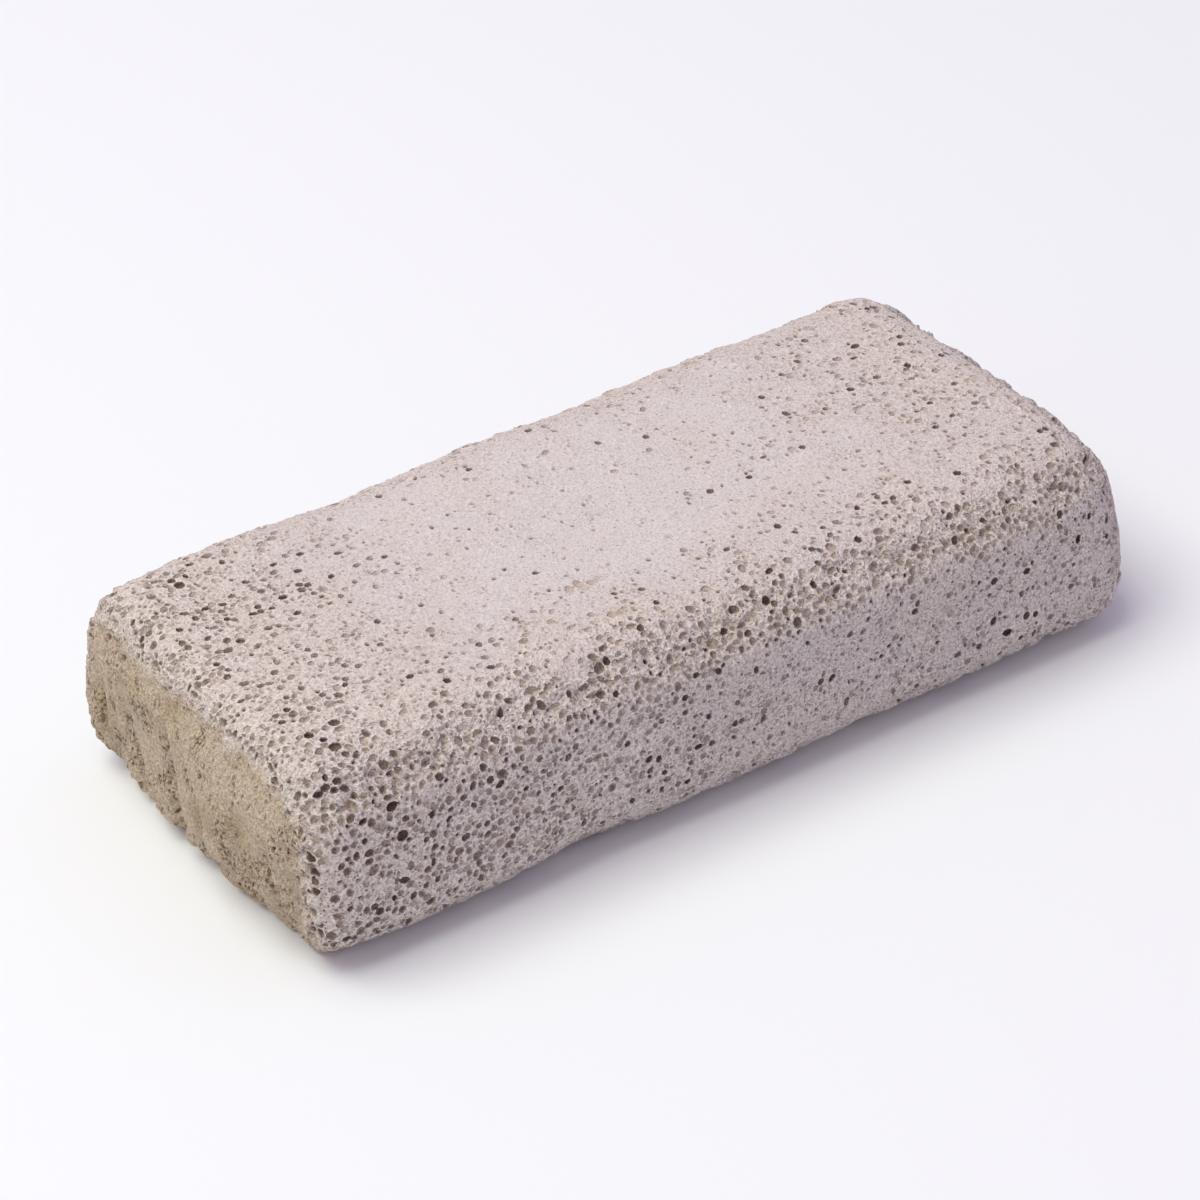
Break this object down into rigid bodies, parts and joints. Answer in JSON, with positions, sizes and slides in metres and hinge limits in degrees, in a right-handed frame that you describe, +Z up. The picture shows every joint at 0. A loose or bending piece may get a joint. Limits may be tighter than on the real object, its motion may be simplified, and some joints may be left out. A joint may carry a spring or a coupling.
{
  "type": "pumice stone",
  "caption": "Hand-sized rectangular pumice bar with rounded edges, ground faces full of fine pores and one rough broken end.",
  "frame": {"origin": "under the middle of the stone, on the flat face that it lies on", "axes": "+X along the length, away from the rough broken end; +Y across the width; +Z up"},
  "size_m": [0.1, 0.046, 0.022],
  "materials": {
    "pumice": "dry, rough and porous"
  },
  "bodies": {
    "root": {"pumice_stone": "pumice"}
  },
  "joints": []
}
